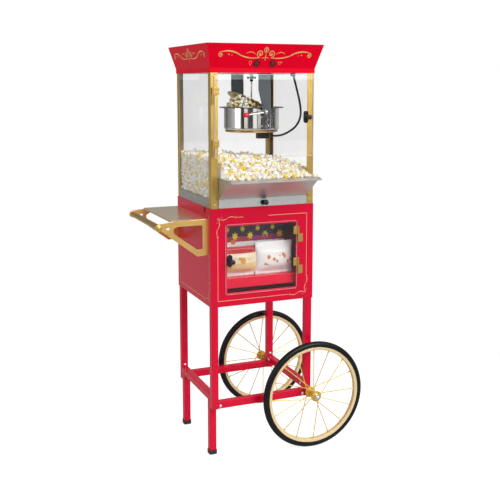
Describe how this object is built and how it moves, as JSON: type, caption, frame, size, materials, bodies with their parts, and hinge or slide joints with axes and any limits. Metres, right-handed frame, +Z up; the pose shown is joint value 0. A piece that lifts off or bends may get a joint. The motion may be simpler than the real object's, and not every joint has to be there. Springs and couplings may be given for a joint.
{
  "type": "popcorn cart",
  "caption": "Wheeled popcorn cart: glass popping case with tilting kettle and serving tray, on a red cabinet with door, side shelf and push handle.",
  "frame": {"origin": "on the floor, under the middle of the whole cart's box", "axes": "+Z up, -Y towards the customer's side with the doors, -X towards the push handle, +X towards the wheels"},
  "size_m": [0.708, 0.5352, 1.346],
  "materials": {
    "red_paint": "gloss enamel",
    "foot_rubber": "moulded",
    "bright_bolt": "polished",
    "zinc_fitting": "zinc plated",
    "tyre_rubber": "smooth glossy solid tyre",
    "rim_enamel": "cream gold enamel",
    "spoke_wire": "bright plated wire",
    "hub_gold": "bright gold plate",
    "clear_acrylic": "clear acrylic",
    "clear_glass": "clear tempered glass",
    "black_plastic": "moulded gloss",
    "gold_metal": "satin gold anodised",
    "bronze_tube": "brushed bronze",
    "steel_sheet": "brushed stainless",
    "tray_steel": "warm brushed stainless",
    "pot_steel": "polished stainless",
    "copper": "polished copper",
    "red_plastic": "moulded gloss",
    "cord_rubber": "moulded sheath",
    "lamp_glass": "opal bulb and white holder"
  },
  "bodies": {
    "root": {"upper_legs": "red_paint", "lower_legs": "red_paint", "cross_rails": "red_paint", "side_rails": "red_paint", "cabinet_front": "red_paint", "cabinet_panels": "red_paint", "cabinet_plates": "red_paint", "cabinet_shelf": "red_paint", "canopy_shell": "red_paint", "foot_caps": "foot_rubber", "frame_bolts": "bright_bolt", "axle_bolts": "bright_bolt", "axle_fittings": "zinc_fitting", "motor_unit": "zinc_fitting", "side_glass": "clear_glass", "rear_glass": "clear_glass", "side_latches": "black_plastic", "switch_bezels": "black_plastic", "lead_gland": "black_plastic", "corner_posts": "gold_metal", "hinge_leaves": "gold_metal", "shelf_brackets": "gold_metal", "tray_pivots": "gold_metal", "handle_caps": "gold_metal", "handle_tube": "bronze_tube", "base_skirt": "steel_sheet", "case_floor": "steel_sheet", "canopy_ceiling": "steel_sheet", "kettle_arms": "steel_sheet", "shelf_plate": "tray_steel", "kettle_lead": "cord_rubber", "lamp": "lamp_glass"},
    "front_wheel": {"front_tyre": "tyre_rubber", "front_rim": "rim_enamel", "front_spokes": "spoke_wire", "front_hub": "hub_gold"},
    "rear_wheel": {"rear_tyre": "tyre_rubber", "rear_rim": "rim_enamel", "rear_spokes": "spoke_wire", "rear_hub": "hub_gold"},
    "cabinet_door": {"cabinet_door_pane": "clear_acrylic", "cabinet_door_knob": "black_plastic", "cabinet_door_leaves": "gold_metal"},
    "case_door": {"case_door_pane": "clear_acrylic", "case_door_knob": "black_plastic", "case_door_leaves": "gold_metal"},
    "crumb_drawer": {"crumb_drawer": "steel_sheet", "crumb_drawer_knob": "black_plastic"},
    "serving_tray": {"serving_tray": "tray_steel"},
    "light_switch": {"light_switch": "red_plastic"},
    "kettle_switch": {"kettle_switch": "red_plastic"},
    "kettle": {"kettle_pot": "pot_steel", "heater_base": "copper", "kettle_pivots": "pot_steel", "kettle_lever": "pot_steel", "kettle_grip": "red_plastic", "kettle_cover": "pot_steel", "kettle_plug": "black_plastic"},
    "kettle_lid": {"kettle_lid": "pot_steel"},
    "stirrer": {"stirrer": "pot_steel"}
  },
  "joints": [
    {"name": "front_wheel_spin", "type": "hinge", "parent": "root", "child": "front_wheel", "pos_m": [0.171, -0.1947, 0.183], "axis": [0, 1, 0], "continuous": true},
    {"name": "rear_wheel_spin", "type": "hinge", "parent": "root", "child": "rear_wheel", "pos_m": [0.171, 0.2273, 0.183], "axis": [0, 1, 0], "continuous": true},
    {"name": "cabinet_door_swing", "type": "hinge", "parent": "root", "child": "cabinet_door", "pos_m": [0.1275, -0.1607, 0.66], "axis": [0, 0, 1], "range_deg": [0, 110]},
    {"name": "case_door_swing", "type": "hinge", "parent": "root", "child": "case_door", "pos_m": [-0.1705, -0.1607, 1.12], "axis": [0, 0, -1], "range_deg": [0, 110]},
    {"name": "crumb_drawer_slide", "type": "slide", "parent": "root", "child": "crumb_drawer", "axis": [0, -1, 0], "range_m": [0, 0.22]},
    {"name": "serving_tray_tilt", "type": "hinge", "parent": "root", "child": "serving_tray", "pos_m": [0.003, -0.1607, 0.862], "axis": [-1, 0, 0], "range_deg": [0, 54]},
    {"name": "light_switch_rock", "type": "hinge", "parent": "root", "child": "light_switch", "pos_m": [-0.0235, -0.1607, 1.286], "axis": [1, 0, 0], "range_deg": [0, 14]},
    {"name": "kettle_switch_rock", "type": "hinge", "parent": "root", "child": "kettle_switch", "pos_m": [0.0315, -0.1607, 1.286], "axis": [1, 0, 0], "range_deg": [0, 14]},
    {"name": "kettle_tilt", "type": "hinge", "parent": "root", "child": "kettle", "pos_m": [0.0295, 0.0163, 1.13], "axis": [0, -1, 0], "range_deg": [0, 75], "deforming": ["kettle_lead"]},
    {"name": "kettle_lid_hinge", "type": "hinge", "parent": "kettle", "child": "kettle_lid", "pos_m": [0.0495, 0.0163, 1.1485], "axis": [0, 1, 0], "range_deg": [-27, 17]},
    {"name": "stirrer_spin", "type": "hinge", "parent": "kettle", "child": "stirrer", "pos_m": [0.0325, 0.0163, 1.1], "axis": [0, 0, 1], "continuous": true}
  ]
}
